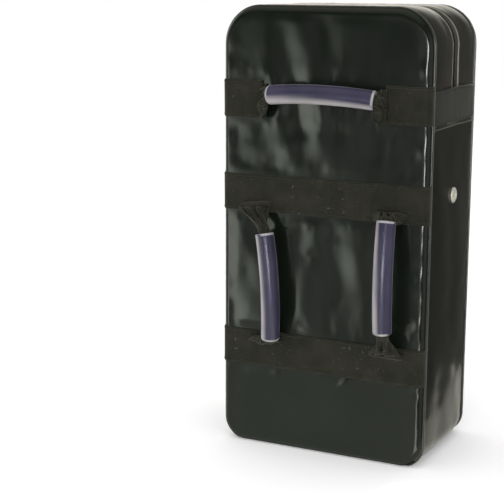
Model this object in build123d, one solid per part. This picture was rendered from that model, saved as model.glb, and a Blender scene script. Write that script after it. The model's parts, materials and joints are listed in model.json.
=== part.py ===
from build123d import *
import math
import os

# A strap-handled kick shield: an upright foam block in a sewn cover.
# Millimetres. +Z is up, the striking face looks towards -Y and the holder stands at +Y.
# Left and right are the holder's own, so left is +X and right is -X.
# The origin is on the floor, at the middle of the flat foot.

# Driving dimensions of the block.
WIDTH = 292.0
HEIGHT = 600.0
SEAM_Y = 82.0
FACE_Y = 92.0
TOP_RADIUS = 50.0
FOOT_RADIUS = 30.0
EDGE_ROUND = 8.0
# How far the cutting boxes reach past the block, and how closely edges are picked out.
CUT_MARGIN = 9.0
PICK_TOLERANCE = 0.01

# Cover and sewing.
LEATHER = 1.5
SEW_GAP = 0.1
WELT_WIDTH = 1.8
WELT_PROUD = 2.0
SEAM_HEIGHT = 450.0
BINDING_WIDTH = 6.0
BINDING_THICKNESS = 1.6
ZIP_MOUTH = 24.0

# Webbing straps sewn over the back.
WEB_WIDTH = 50.0
WEB_THICKNESS = 1.8
LOWER_STRAP_Z = 137.5
MIDDLE_STRAP_Z = 353.0
UPPER_STRAP_Z = 479.0
UPPER_STRAP_INNER_X = 78.0
SIDE_BAND_LOW = 453.4
SIDE_BAND_HIGH = 498.0
SIDE_BAND_BULGE = 5.0

# Grip hoses, and the webbing folded through them.
HOSE_LENGTH = 146.0
HOSE_OUTER_RADIUS = 12.5
HOSE_INNER_RADIUS = 10.0
HOSE_END_ROUND = 0.8
CORE_WIDTH = 16.0
CORE_THICKNESS = 6.0
CORE_ROUND = 2.4
BOW_RADIUS = 350.0
BOW_REACH = 26.0
PIVOT_STANDOFF = 7.0
PIVOT_RADIUS = 4.0
LEG_THICKNESS = 5.0
RUNNING_GAP = 0.3
ROOT_LENGTH = 10.0
ROOT_WIDTH = 34.0
ROOT_ABOVE_PIVOT = 4.0
ROOT_ROUND = 1.5
LONG_TRAVEL = 16.5
SHORT_TRAVEL = 8.0
END_CLEARANCE = 1.0

# Where each handle's chord lies on the back, and how far the left one leans in its plane.
UPPER_HANDLE_Z = 476.5
UPRIGHT_HANDLE_Z = 245.0
LEFT_HANDLE_X = 85.0
RIGHT_HANDLE_X = -98.0
LEFT_HANDLE_LEAN = 5.0
# How far each handle is swung over from standing straight out, in degrees.
UPPER_TILT = 33.0
LEFT_TILT = 50.0
RIGHT_TILT = 5.0
# How far each hose has slid along its webbing from the middle.
UPPER_SLID = -7.0
LEFT_SLID = -LONG_TRAVEL
RIGHT_SLID = LONG_TRAVEL

# Zip round the top, with its slider parked under the side band.
TAPE_THICKNESS = 0.8
TAPE_OUTER_Y = 20.0
COIL_WIDTH = 1.9
COIL_THICKNESS = 2.4
COIL_GAP = 1.1
STOP_LENGTH = 3.2
STOP_LOW = 454.4
STOP_ROUND = 0.5
SLIDER_LENGTH = 9.0
SLIDER_WIDTH = 8.4
SLIDER_PLATE = 1.3
SLIDER_ROUND = 1.5
SLIDER_WEB = 0.6
SLIDER_WEB_INSET = 1.0
SLIDER_Z = 482.0
EAR_INNER_Y = 1.8
EAR_OUTER_Y = 2.7
EAR_LENGTH = 2.8
PULL_PIN_RADIUS = 0.5
PULL_PIN_REACH = 2.2
PULL_PIN_GAP = 0.06
PULL_BARREL_RADIUS = 1.1
PULL_THICKNESS = 0.9
PULL_LENGTH = 18.0
PULL_WIDTH = 6.5
PULL_NECK = 3.0
PULL_HOLE_RADIUS = 1.4
PULL_HOLE_MARGIN = 3.5
PULL_ROUND = 2.0

# Vent eyelets in the sides.
EYELET_Z = 355.5
EYELET_FLANGE_RADIUS = 10.5
EYELET_FLANGE = 1.3
EYELET_FLANGE_ROUND = 0.9
EYELET_BARREL_RADIUS = 5.2
EYELET_BORE_RADIUS = 4.4
EYELET_WASHER_RADIUS = 9.0
EYELET_WASHER = 0.8

# Foam filling, three layers from the striking face to the holder.
FOAM_INSET = 6.0
FOAM_FOOT = 2.0
FOAM_FACE_GAP = 0.3
FOAM_ROUND = 6.0
FRONT_LAYER_Y = -55.0
BACK_LAYER_Y = 62.0
LAYER_GAP = 0.2

# Printed mark on the striking face: two plain chevrons over a thin rule.
PRINT_THICKNESS = 0.3
CHEVRON_HALF_WIDTH = 26.0
CHEVRON_RISE = 24.0
CHEVRON_BAR = 17.0
CHEVRON_LOW_Z = 268.0
CHEVRON_STEP_Z = 30.0
ORANGE_CHEVRON_X = -66.0
RED_CHEVRON_X = 6.0
RULE_HEIGHT = 4.0
RULE_Z = 251.0

HALF = WIDTH / 2
GUSSET_Y = SEAM_Y - WELT_WIDTH / 2 - SEW_GAP
TRAY_Y = SEAM_Y + WELT_WIDTH / 2 + SEW_GAP
STRAP_FACE_Y = FACE_Y + SEW_GAP + WEB_THICKNESS
PIVOT_Y = FACE_Y + PIVOT_STANDOFF
TAPE_FACE = LEATHER + SEW_GAP
TAPE_MIDDLE = TAPE_FACE + TAPE_THICKNESS / 2
COIL_INNER_Y = COIL_GAP / 2
TAPE_INNER_Y = COIL_INNER_Y + COIL_WIDTH + SEW_GAP


def outline(grow, foot):
    """Front view of the shield, grown all round by grow, with its foot at that height."""
    top = HEIGHT + grow
    sheet = Pos(0, (top + foot) / 2) * Rectangle(2 * (HALF + grow), top - foot)
    corners = sheet.vertices().sort_by(Axis.Y)
    sheet = fillet(corners[2:], TOP_RADIUS + grow)
    corners = sheet.vertices().sort_by(Axis.Y)
    return fillet(corners[:2], FOOT_RADIUS + min(grow, 0))


def slab(sheet, low_y, high_y):
    """The front view sheet made solid between two depths."""
    return extrude(Plane.XZ.offset(-high_y) * sheet, amount=high_y - low_y)


def block(low, high):
    """A box between two opposite corners."""
    size = [b - a for a, b in zip(low, high)]
    return Pos(*low) * Box(*size, align=(Align.MIN, Align.MIN, Align.MIN))


def ring(outer, inner, low_y, high_y):
    """A band round the block, between two insets from its outline."""
    whole = slab(outline(-outer, outer), low_y, high_y)
    return whole - slab(outline(-inner, inner), low_y - 1, high_y + 1)


def tray(side):
    """One leather face with its edge rolled round to the seam."""
    skin = rolled_slab(0, TRAY_Y, FACE_Y, EDGE_ROUND, side)
    hollow = rolled_slab(LEATHER, TRAY_Y - 1, FACE_Y - LEATHER, EDGE_ROUND - LEATHER, side)
    return skin - hollow


def rolled_slab(inset, near_y, far_y, radius, side):
    """A slab on one side of the middle whose far edge is rounded."""
    low_y, high_y = sorted((side * near_y, side * far_y))
    body = slab(outline(-inset, inset), low_y, high_y)
    low, high = side * far_y - PICK_TOLERANCE, side * far_y + PICK_TOLERANCE
    rim = body.edges().filter_by_position(Axis.Y, low, high)
    return fillet(rim, radius)


def above(solid, height):
    """What of a solid lies over a height."""
    reach = HALF + CUT_MARGIN
    return solid & block((-reach, -FACE_Y, height), (reach, FACE_Y, HEIGHT + CUT_MARGIN))


def below(solid, height):
    """What of a solid lies under a height."""
    reach = HALF + CUT_MARGIN
    return solid & block((-reach, -FACE_Y, -CUT_MARGIN), (reach, FACE_Y, height))


def cover_faces():
    """The two leather faces."""
    return {"front_panel": tray(-1), "back_panel": tray(1)}


def gusset():
    """The side wall: one lower piece, and two strips with the zip between them."""
    wall = ring(0, LEATHER, -GUSSET_Y, GUSSET_Y)
    lower = below(wall, SEAM_HEIGHT - SEW_GAP)
    for side in (-1, 1):
        hole = Cylinder(EYELET_BARREL_RADIUS + SEW_GAP, 4 * LEATHER, rotation=(0, 90, 0))
        lower -= Pos(side * HALF, 0, EYELET_Z) * hole
    upper = above(wall, SEAM_HEIGHT + SEW_GAP)
    reach = HALF + CUT_MARGIN
    front = upper & block((-reach, -FACE_Y, 0), (reach, -ZIP_MOUTH / 2, HEIGHT + CUT_MARGIN))
    rear = upper & block((-reach, ZIP_MOUTH / 2, 0), (reach, FACE_Y, HEIGHT + CUT_MARGIN))
    return {"lower_gusset": lower, "zip_gusset_front": front, "zip_gusset_rear": rear}


def welts():
    """The piped seams between the side wall and the two faces, flush at the foot."""
    parts = {}
    for name, side in (("front_welt", -1), ("rear_welt", 1)):
        low_y, high_y = sorted((side * (GUSSET_Y + SEW_GAP), side * (TRAY_Y - SEW_GAP)))
        piping = slab(outline(WELT_PROUD, 0), low_y, high_y)
        parts[name] = piping - slab(outline(-LEATHER, LEATHER), low_y - 1, high_y + 1)
    return parts


def seam_bindings():
    """The bound cross seams where the lower gusset meets the zip strips."""
    parts = {}
    for name, side in (("gusset_seam_left", 1), ("gusset_seam_right", -1)):
        near = HALF + SEW_GAP
        low_x, high_x = sorted((side * near, side * (near + BINDING_THICKNESS)))
        low = (low_x, -GUSSET_Y, SEAM_HEIGHT - BINDING_WIDTH / 2)
        high = (high_x, GUSSET_Y, SEAM_HEIGHT + BINDING_WIDTH / 2)
        strip = block(low, high)
        outer = strip.faces().sort_by(Axis.X)[-1 if side > 0 else 0]
        parts[name] = fillet(outer.edges().filter_by(Axis.Y), BINDING_THICKNESS / 2)
    return parts


def strap(low_z, height):
    """Webbing sewn flat across the back panel and rolled over both of its edges."""
    sections = []
    for gap in (SEW_GAP, SEW_GAP + WEB_THICKNESS):
        depth = FACE_Y + gap - TRAY_Y
        sheet = Pos(0, TRAY_Y + depth / 2) * Rectangle(2 * (HALF + gap), depth)
        sections.append(fillet(sheet.vertices().sort_by(Axis.Y)[2:], EDGE_ROUND + gap))
    return extrude(Plane.XY.offset(low_z) * (sections[1] - sections[0]), amount=height)


def straps():
    """Two full width straps, and the two flat ends of the upper carrying strap."""
    middle = strap(MIDDLE_STRAP_Z - WEB_WIDTH / 2, WEB_WIDTH)
    lower = strap(LOWER_STRAP_Z - WEB_WIDTH / 2, WEB_WIDTH)
    upper = strap(UPPER_STRAP_Z - WEB_WIDTH / 2, WEB_WIDTH)
    reach = HALF + CUT_MARGIN
    left = upper & block((UPPER_STRAP_INNER_X, 0, 0), (reach, 2 * FACE_Y, HEIGHT))
    right = upper & block((-reach, 0, 0), (-UPPER_STRAP_INNER_X, 2 * FACE_Y, HEIGHT))
    return {
        "middle_strap": middle,
        "lower_strap": lower,
        "upper_strap_left": left,
        "upper_strap_right": right,
    }


def side_band():
    """The strap that arches over the zip on the right side and hides its parked slider."""
    near = -HALF - SEW_GAP
    lines = []
    for reach in (0, WEB_THICKNESS):
        edge = near - reach
        crest = (edge - SIDE_BAND_BULGE, 0)
        lines.append(ThreePointArc((edge, -GUSSET_Y), crest, (edge, GUSSET_Y)))
    ends = [Line(a @ t, b @ t) for t in (0, 1) for a, b in [lines]]
    face = make_face(lines + ends)
    band = extrude(Plane.XY.offset(SIDE_BAND_LOW) * face, amount=SIDE_BAND_HIGH - SIDE_BAND_LOW)
    return {"side_band": band}


def eyelets():
    """Brass vent eyelets through the side walls, each clenched over a washer inside."""
    parts = {}
    for name, side in (("left", 1), ("right", -1)):
        place = Pos(side * HALF, 0, EYELET_Z) * Rot(0, side * 90, 0)
        flange = Pos(0, 0, EYELET_FLANGE / 2 + SEW_GAP)
        flange *= Cylinder(EYELET_FLANGE_RADIUS, EYELET_FLANGE)
        flange = fillet(flange.edges().sort_by(Axis.Z)[-1], EYELET_FLANGE_ROUND)
        depth = LEATHER + EYELET_WASHER + 3 * SEW_GAP
        barrel = Cylinder(EYELET_BARREL_RADIUS, depth, align=(Align.CENTER, Align.CENTER, Align.MAX))
        barrel = Pos(0, 0, SEW_GAP) * barrel
        bore = Cylinder(EYELET_BORE_RADIUS, 6 * depth)
        parts["eyelet_" + name] = place * (flange + barrel - bore)
        washer = Cylinder(EYELET_WASHER_RADIUS, EYELET_WASHER)
        washer -= Cylinder(EYELET_BARREL_RADIUS + SEW_GAP / 2, 2 * EYELET_WASHER)
        sunk = LEATHER + SEW_GAP + EYELET_WASHER / 2
        parts["eyelet_washer_" + name] = place * Pos(0, 0, -sunk) * washer
    return parts


def zip_chain():
    """Tapes and coils of the zip, from one cross seam over the top to the other."""
    parts = {}
    stop_high = STOP_LOW + STOP_LENGTH
    coil_out = TAPE_MIDDLE - COIL_THICKNESS / 2
    for name, side in (("front", -1), ("rear", 1)):
        low_y, high_y = sorted((side * TAPE_INNER_Y, side * TAPE_OUTER_Y))
        tape = ring(TAPE_FACE, TAPE_FACE + TAPE_THICKNESS, low_y, high_y)
        parts["zip_tape_" + name] = above(tape, SEAM_HEIGHT + SEW_GAP)
        low_y, high_y = sorted((side * COIL_INNER_Y, side * (COIL_INNER_Y + COIL_WIDTH)))
        coil = ring(coil_out, coil_out + COIL_THICKNESS, low_y, high_y)
        parts["zip_coil_" + name] = above(coil, stop_high + SEW_GAP)
    for name, side in (("zip_end_stop", 1), ("zip_park_stop", -1)):
        outer = side * (HALF - coil_out)
        inner = side * (HALF - coil_out - COIL_THICKNESS)
        low_x, high_x = sorted((outer, inner))
        width = COIL_INNER_Y + COIL_WIDTH
        clip = block((low_x, -width, STOP_LOW), (high_x, width, stop_high))
        parts[name] = fillet(clip.edges().filter_by(Axis.Z), STOP_ROUND)
    return parts


def zip_slider():
    """The slider: two plates either side of the coils, a web between them and two pull ears."""
    coil_out = HALF - TAPE_MIDDLE + COIL_THICKNESS / 2 + RUNNING_GAP
    coil_in = HALF - TAPE_MIDDLE - COIL_THICKNESS / 2 - RUNNING_GAP
    half_width, half_length = SLIDER_WIDTH / 2, SLIDER_LENGTH / 2
    outer = block((coil_out, -half_width, -half_length), (coil_out + SLIDER_PLATE, half_width, half_length))
    inner = block((coil_in - SLIDER_PLATE, -half_width, -half_length), (coil_in, half_width, half_length))
    outer = fillet(outer.edges().filter_by(Axis.X), SLIDER_ROUND)
    inner = fillet(inner.edges().filter_by(Axis.X), SLIDER_ROUND)
    web_length = half_length - SLIDER_WEB_INSET
    web = block((coil_in, -SLIDER_WEB / 2, -web_length), (coil_out, SLIDER_WEB / 2, web_length))
    body = outer + inner + web
    pin_x = HALF + PULL_PIN_REACH
    for side in (-1, 1):
        low_y, high_y = sorted((side * EAR_INNER_Y, side * EAR_OUTER_Y))
        low = (coil_out, low_y, -EAR_LENGTH / 2)
        body += block(low, (pin_x, high_y, EAR_LENGTH / 2))
        knuckle = Cylinder(EAR_LENGTH / 2, high_y - low_y, rotation=(90, 0, 0))
        body += Pos(pin_x, (low_y + high_y) / 2, 0) * knuckle
    body += Pos(pin_x, 0, 0) * Cylinder(PULL_PIN_RADIUS, 2 * EAR_OUTER_Y, rotation=(90, 0, 0))
    return {"zip_slider": Pos(0, 0, SLIDER_Z) * mirror(body, Plane.YZ)}


def zip_pull():
    """The pull tab, hanging down from the slider's pin."""
    pin_x = HALF + PULL_PIN_REACH
    half_barrel = EAR_INNER_Y - RUNNING_GAP
    barrel = Cylinder(PULL_BARREL_RADIUS, 2 * half_barrel, rotation=(90, 0, 0))
    shoulder = PULL_BARREL_RADIUS + EAR_LENGTH / 2
    points = [(-half_barrel, 0), (half_barrel, 0), (PULL_NECK / 2, -shoulder)]
    points += [(PULL_WIDTH / 2, -2 * shoulder), (PULL_WIDTH / 2, -PULL_LENGTH)]
    points += [(-PULL_WIDTH / 2, -PULL_LENGTH), (-PULL_WIDTH / 2, -2 * shoulder)]
    points += [(-PULL_NECK / 2, -shoulder)]
    sheet = make_face(Polyline(*points, close=True))
    sheet = fillet(sheet.vertices().sort_by(Axis.Y)[:2], PULL_ROUND)
    sheet -= Pos(0, PULL_HOLE_MARGIN - PULL_LENGTH) * Circle(PULL_HOLE_RADIUS)
    plate = extrude(Plane.YZ * sheet, amount=PULL_THICKNESS / 2, both=True)
    tab = barrel + plate
    tab -= Cylinder(PULL_PIN_RADIUS + PULL_PIN_GAP, 4 * half_barrel, rotation=(90, 0, 0))
    return {"zip_pull": Pos(-pin_x, 0, SLIDER_Z) * tab}


def bow(section, half_angle):
    """A section swept along the bow of a handle, which stands off from its chord.

    The chord is the local Z axis, the bow stands towards +Y and its middle is at Z = 0.
    """
    hub = Axis((0, BOW_REACH - BOW_RADIUS, 0), (1, 0, 0))
    turned = revolve(Pos(0, BOW_REACH) * section, axis=hub, revolution_arc=2 * half_angle)
    return turned.rotate(hub, -half_angle)


def bow_angle(distance):
    """The angle of the bow that reaches that far along the chord, in degrees."""
    return math.degrees(distance / BOW_RADIUS)


def webbing_loop(travel):
    """The moving webbing of a handle: folded through the hose, with a leg down to each pivot.

    The bow drops by about the square of the distance over twice its radius, which sets the legs' reach.
    """
    leg_low = HOSE_LENGTH / 2 + travel + END_CLEARANCE
    half_angle = bow_angle(leg_low + LEG_THICKNESS / 2)
    loop = bow(RectangleRounded(CORE_WIDTH, CORE_THICKNESS, CORE_ROUND), half_angle)
    leg_reach = BOW_REACH - leg_low**2 / (2 * BOW_RADIUS) + CORE_THICKNESS / 2
    knee = PIVOT_RADIUS
    shape = Polyline(
        (-knee, 0), (knee, 0), (CORE_WIDTH / 2, leg_reach), (-CORE_WIDTH / 2, leg_reach), close=True
    )
    sheet = make_face(shape) + Circle(PIVOT_RADIUS)
    for side in (-1, 1):
        start = leg_low if side > 0 else -leg_low - LEG_THICKNESS
        loop += extrude(Plane.XY.offset(start) * sheet, amount=LEG_THICKNESS)
    return loop


def grip_hose(slid):
    """The hose, slid that far along the bow."""
    wall = Circle(HOSE_OUTER_RADIUS) - Circle(HOSE_INNER_RADIUS)
    hose = bow(wall, bow_angle(HOSE_LENGTH / 2))
    ends = hose.edges().filter_by(GeomType.CIRCLE)
    ends = ends.filter_by(lambda e: abs(e.radius - HOSE_OUTER_RADIUS) < PICK_TOLERANCE)
    ends = ends.filter_by(lambda e: abs(e.center().Z) > HOSE_LENGTH / 4)
    hose = fillet(ends, HOSE_END_ROUND)
    hub = Axis((0, BOW_REACH - BOW_RADIUS, 0), (1, 0, 0))
    return hose.rotate(hub, bow_angle(slid))


def webbing_roots(travel):
    """The standing folds at both ends of a handle, sewn down to the strap under them."""
    start = HOSE_LENGTH / 2 + travel + END_CLEARANCE + LEG_THICKNESS + RUNNING_GAP
    foot = STRAP_FACE_Y + SEW_GAP - PIVOT_Y
    roots = []
    for side in (-1, 1):
        low_z, high_z = sorted((side * start, side * (start + ROOT_LENGTH)))
        fold = block((-ROOT_WIDTH / 2, foot, low_z), (ROOT_WIDTH / 2, ROOT_ABOVE_PIVOT, high_z))
        top = fold.faces().sort_by(Axis.Y)[-1]
        roots.append(fillet(top.edges(), ROOT_ROUND))
    return Compound(children=roots)


def handle(name, place, tilt, travel, slid):
    """One handle: its roots stand still, and its loop and hose lean over by tilt."""
    swung = place * Rot(0, 0, tilt)
    return {
        name + "_webbing_roots": place * webbing_roots(travel),
        name + "_webbing_loop": swung * webbing_loop(travel),
        name + "_grip_hose": swung * grip_hose(slid),
    }


def handles():
    """The upper carrying handle and the two upright ones."""
    upper = Pos(0, PIVOT_Y, UPPER_HANDLE_Z) * Rot(0, 90, 0)
    left = Pos(LEFT_HANDLE_X, PIVOT_Y, UPRIGHT_HANDLE_Z) * Rot(0, LEFT_HANDLE_LEAN, 0)
    right = Pos(RIGHT_HANDLE_X, PIVOT_Y, UPRIGHT_HANDLE_Z)
    parts = handle("upper", upper, UPPER_TILT, SHORT_TRAVEL, UPPER_SLID)
    parts |= handle("left", left, LEFT_TILT, LONG_TRAVEL, LEFT_SLID)
    parts |= handle("right", right, RIGHT_TILT, LONG_TRAVEL, RIGHT_SLID)
    return parts


def foam():
    """Firm strike layer, softer core and back layer, stacked through the depth."""
    inner_face = FACE_Y - LEATHER - FOAM_FACE_GAP
    sheet = outline(-FOAM_INSET, FOAM_FOOT)
    core = slab(sheet, FRONT_LAYER_Y + LAYER_GAP, BACK_LAYER_Y - LAYER_GAP)
    front = slab(sheet, -inner_face, FRONT_LAYER_Y)
    back = slab(sheet, BACK_LAYER_Y, inner_face)
    front = fillet(front.faces().sort_by(Axis.Y)[0].edges(), FOAM_ROUND)
    back = fillet(back.faces().sort_by(Axis.Y)[-1].edges(), FOAM_ROUND)
    return {"foam_front_layer": front, "foam_core": core, "foam_back_layer": back}


def chevron(x, low_z):
    """A plain upward chevron for the print."""
    points = [(-CHEVRON_HALF_WIDTH, 0), (0, CHEVRON_RISE), (CHEVRON_HALF_WIDTH, 0)]
    points += [(CHEVRON_HALF_WIDTH, CHEVRON_BAR), (0, CHEVRON_RISE + CHEVRON_BAR)]
    points += [(-CHEVRON_HALF_WIDTH, CHEVRON_BAR)]
    return Pos(x, low_z) * make_face(Polyline(*points, close=True))


def printed(sheet):
    """Ink on the striking face."""
    return slab(sheet, -FACE_Y - PRINT_THICKNESS, -FACE_Y)


def print_marks():
    """The printed mark: stacked chevrons in two colours and a rule under them."""
    orange = chevron(ORANGE_CHEVRON_X, CHEVRON_LOW_Z)
    orange += chevron(ORANGE_CHEVRON_X, CHEVRON_LOW_Z + CHEVRON_STEP_Z)
    red = chevron(RED_CHEVRON_X, CHEVRON_LOW_Z)
    red += chevron(RED_CHEVRON_X, CHEVRON_LOW_Z + CHEVRON_STEP_Z)
    rule_left = ORANGE_CHEVRON_X - CHEVRON_HALF_WIDTH
    rule_right = RED_CHEVRON_X + CHEVRON_HALF_WIDTH
    rule = Pos((rule_left + rule_right) / 2, RULE_Z) * Rectangle(rule_right - rule_left, RULE_HEIGHT)
    return {
        "print_orange_chevrons": printed(orange),
        "print_red_chevrons": printed(red),
        "print_red_rule": printed(rule),
    }


def build():
    """Every node of the shield by name."""
    sections = (
        cover_faces,
        gusset,
        welts,
        seam_bindings,
        straps,
        side_band,
        eyelets,
        zip_chain,
        zip_slider,
        zip_pull,
        handles,
        foam,
        print_marks,
    )
    nodes = {}
    for section in sections:
        nodes |= section()
    return nodes


os.makedirs("parts", exist_ok=True)
for node_name, node in build().items():
    export_step(node, "parts/" + node_name + ".step")
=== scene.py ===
import json
import math

import bmesh
import bpy
import numpy as np
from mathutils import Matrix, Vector


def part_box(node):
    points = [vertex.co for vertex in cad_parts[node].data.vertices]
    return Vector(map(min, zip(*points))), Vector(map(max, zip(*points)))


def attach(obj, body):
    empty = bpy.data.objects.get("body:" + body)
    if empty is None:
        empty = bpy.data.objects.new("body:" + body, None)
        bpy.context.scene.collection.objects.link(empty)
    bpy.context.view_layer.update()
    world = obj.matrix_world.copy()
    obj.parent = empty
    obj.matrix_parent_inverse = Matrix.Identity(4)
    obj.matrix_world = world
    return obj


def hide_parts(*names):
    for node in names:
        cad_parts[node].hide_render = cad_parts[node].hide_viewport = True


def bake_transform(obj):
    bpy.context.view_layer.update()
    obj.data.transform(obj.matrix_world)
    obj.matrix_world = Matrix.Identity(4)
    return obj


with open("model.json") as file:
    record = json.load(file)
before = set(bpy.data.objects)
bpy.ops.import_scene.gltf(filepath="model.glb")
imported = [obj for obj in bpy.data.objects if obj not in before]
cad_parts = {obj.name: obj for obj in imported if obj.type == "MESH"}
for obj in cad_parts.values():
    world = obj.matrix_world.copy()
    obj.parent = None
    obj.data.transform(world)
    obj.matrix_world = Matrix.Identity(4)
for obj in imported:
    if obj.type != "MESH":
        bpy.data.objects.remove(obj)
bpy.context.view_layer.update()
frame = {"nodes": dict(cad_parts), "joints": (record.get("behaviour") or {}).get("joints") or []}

MM = 0.001
BACKWARDS = np.array([0.0, 1.0, 0.0])


def node_box(name):
    """Lowest and highest corner of a CAD node in millimetres."""
    low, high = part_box(name)
    return np.array(low) / MM, np.array(high) / MM


# Sizes of the block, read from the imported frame.
PANEL_LOW, PANEL_HIGH = node_box("back_panel")
GUSSET_HIGH = node_box("lower_gusset")[1]
HALF = PANEL_HIGH[0]
HEIGHT = PANEL_HIGH[2]
FACE_Y = PANEL_HIGH[1]
SEAM_Y = (PANEL_LOW[1] + GUSSET_HIGH[1]) / 2
CROSS_SEAM_Z = GUSSET_HIGH[2]
TOP_RADIUS = 50.0
FOOT_RADIUS = 30.0
ROLL = 8.5  # how far in from its seam a face has its full depth
BULGE = 4.0  # of the lower side wall
STRAP_GAP = 0.15


# ---- mesh tools ----


def smooth_noise(seed, waves, low, high):
    """A smooth seeded field over two coordinates, about -1 to 1, with wavelengths low to high."""
    rng = np.random.default_rng(seed)
    angle = rng.uniform(0, 2 * np.pi, waves)
    count = 2 * np.pi / rng.uniform(low, high, waves)
    shift = rng.uniform(0, 2 * np.pi, waves)

    def field(u, v):
        u, v = np.broadcast_arrays(np.asarray(u, float), np.asarray(v, float))
        total = np.zeros(u.shape)
        for a, k, p in zip(angle, count, shift):
            total += np.sin(k * (np.cos(a) * u + np.sin(a) * v) + p)
        return total / np.sqrt(2 * waves) * 1.2

    return field


def step(low, high, value):
    """Smooth step from 0 at low to 1 at high."""
    t = np.clip((np.asarray(value, float) - low) / (high - low), 0, 1)
    return t * t * (3 - 2 * t)


def bell(value, width):
    """1 at zero, fading to both sides."""
    return np.exp(-((value / width) ** 2))


def capped(value, limit):
    """Keeps a movement under a limit, softly."""
    return limit * np.tanh(value / limit)


def points_of(*coordinates):
    """Coordinates of matching shapes as one array of points."""
    return np.stack(np.broadcast_arrays(*coordinates), -1)


def unit(vectors):
    return vectors / np.linalg.norm(vectors, axis=-1, keepdims=True)


def run_along(points):
    """The distance along a line at each of its points."""
    return np.concatenate([[0], np.cumsum(np.linalg.norm(np.diff(points, axis=0), axis=1))])


def full_turn(count):
    return np.arange(count) * 2 * np.pi / count


def placed(centre, first, second, shape):
    """Sections in space from 2-D shapes: section x point x 2 along two directions."""
    first, second = np.expand_dims(first, -2), np.expand_dims(second, -2)
    return centre[:, None] + shape[..., :1] * first + shape[..., 1:] * second


def rings(centre, first, second, radius, sides):
    """Round sections along a centre line."""
    turn = full_turn(sides)
    circle = points_of(np.cos(turn), np.sin(turn))
    return placed(centre, first, second, np.reshape(radius, (-1, 1, 1)) * circle)


def add_object(name, points, faces, uv=None):
    """A smooth shaded mesh object from points in millimetres."""
    mesh = bpy.data.meshes.new(name)
    mesh.from_pydata((np.asarray(points, float).reshape(-1, 3) * MM).tolist(), [], faces)
    mesh.polygons.foreach_set("use_smooth", [True] * len(mesh.polygons))
    if uv is not None:
        corner = np.empty(len(mesh.loops), int)
        mesh.loops.foreach_get("vertex_index", corner)
        layer = mesh.uv_layers.new(name="UVMap")
        layer.data.foreach_set("uv", (uv.reshape(-1, 2)[corner] * MM).ravel())
    mesh.update()
    item = bpy.data.objects.new(name, mesh)
    bpy.context.scene.collection.objects.link(item)
    return item


def lattice(rows, cols, wrap_rows=False, wrap_cols=False):
    """Quads over a grid of points stored row by row."""
    i = np.arange(rows if wrap_rows else rows - 1)
    j = np.arange(cols if wrap_cols else cols - 1)
    i, j = [a.ravel() for a in np.meshgrid(i, j, indexing="ij")]
    ni, nj = (i + 1) % rows, (j + 1) % cols
    return np.stack([i * cols + j, i * cols + nj, ni * cols + nj, ni * cols + j], 1).tolist()


def combine(name, parts):
    """One object from several (points, faces, uv) parts."""
    points, faces, uvs, start = [], [], [], 0
    for part_points, part_faces, part_uv in parts:
        points.append(part_points)
        faces += [[v + start for v in face] for face in part_faces]
        uvs.append(part_uv)
        start += len(part_points)
    return add_object(name, np.concatenate(points), faces, np.concatenate(uvs))


def finish_piece(item, finish, body, slot, *nodes):
    """Material, body and the CAD nodes a piece stands for, which it hides; slot is not used."""
    item.data.materials.clear()
    item.data.materials.append(finish)
    if body:
        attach(item, body)
    if nodes:
        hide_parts(*nodes)
    return item


def tube(name, sections, finish, slot, *nodes, body="shield", closed=False, uv=None):
    """A finished piece: an outward skin over closed sections, section x point x 3."""
    rows, cols, _ = sections.shape
    faces = lattice(rows, cols, wrap_rows=closed, wrap_cols=True)
    if not closed:
        faces.append(list(range(cols))[::-1])
        faces.append(list(range((rows - 1) * cols, rows * cols)))
    item = add_object(name, sections, faces, uv)
    work = bmesh.new()
    work.from_mesh(item.data)
    bmesh.ops.recalc_face_normals(work, faces=work.faces)
    work.to_mesh(item.data)
    work.free()
    return finish_piece(item, finish, body, slot, *nodes)


def padded_sheet(name, points, finish, nodes, turned=False):
    """Leather over a grid of points; the foam behind it is made by foam_layer."""
    faces = lattice(*points.shape[:2])
    if turned:
        faces = [face[::-1] for face in faces]
    item = add_object(name, points, faces)
    finish_piece(item, finish, "shield", "cover_leather", *nodes)


# ---- shape of the block ----


def inset(x, z):
    """How far inside the block's outline a point of the front view lies."""
    top = np.asarray(z, float) > HEIGHT / 2
    radius = np.where(top, TOP_RADIUS, FOOT_RADIUS)
    qx = np.abs(x) - (HALF - radius)
    qz = np.where(top, z - (HEIGHT - radius), radius - z)
    corner = np.hypot(np.maximum(qx, 0), np.maximum(qz, 0))
    return radius - corner - np.minimum(np.maximum(qx, qz), 0)


def half_width(z):
    """Half the block's width at a height."""
    over = np.clip(z - (HEIGHT - TOP_RADIUS), 0, TOP_RADIUS)
    under = np.clip(FOOT_RADIUS - z, 0, FOOT_RADIUS)
    top = TOP_RADIUS - np.sqrt(TOP_RADIUS**2 - over**2)
    foot = FOOT_RADIUS - np.sqrt(FOOT_RADIUS**2 - under**2)
    return HALF - top - foot


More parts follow.
